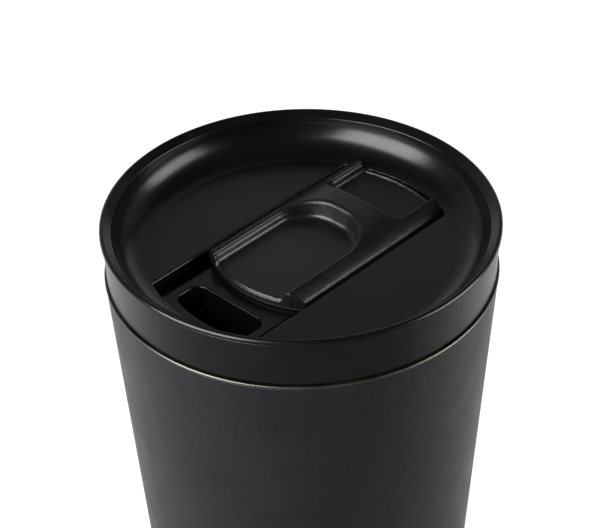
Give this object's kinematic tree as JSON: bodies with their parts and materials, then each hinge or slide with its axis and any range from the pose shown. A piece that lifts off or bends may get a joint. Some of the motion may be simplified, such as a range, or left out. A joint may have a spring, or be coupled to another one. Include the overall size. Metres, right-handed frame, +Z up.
{
  "type": "insulated tumbler with sliding lid",
  "caption": "Tapered double-wall steel tumbler with a press-in plastic lid, dished top, drinking opening and sliding closure.",
  "frame": {"origin": "centre of the footprint, on the surface that the tumbler stands on", "axes": "+Z up; -Y toward the drinking opening; the slider opens toward +Y; +X to the drinker's right as they face the opening from -Y"},
  "size_m": [0.09, 0.09, 0.152],
  "materials": {
    "powder_coat": "matte fine-grained powder coat",
    "liner_steel": "satin",
    "base_steel": "pressed",
    "foil": "bright",
    "getter_metal": "dull",
    "seal_bead": "fused glass bead",
    "foot_rubber": "matte",
    "lid_plastic": "satin",
    "band_plastic": "satin",
    "slider_plastic": "fine spark texture, smooth recess",
    "carriage_plastic": "plain",
    "silicone": "soft matte"
  },
  "bodies": {
    "cup": {"outer_shell": "powder_coat", "inner_liner": "liner_steel", "foil_wrap": "foil", "outer_base": "base_steel", "getter": "getter_metal", "vacuum_plug": "seal_bead", "base_cap": "base_steel", "foot_ring": "foot_rubber"},
    "lid": {"lid_dish": "lid_plastic", "lid_base": "band_plastic", "lid_gasket": "silicone"},
    "slider": {"slider_cover": "slider_plastic", "slider_carriage": "carriage_plastic", "slider_seal": "silicone", "vent_seal": "silicone"}
  },
  "joints": [
    {"name": "lid_lift", "type": "slide", "parent": "cup", "child": "lid", "axis": [0, 0, 1], "range_m": [0, 0.06]},
    {"name": "slider_slide", "type": "slide", "parent": "lid", "child": "slider", "axis": [0, -1, 0], "range_m": [0, 0.0145]}
  ]
}
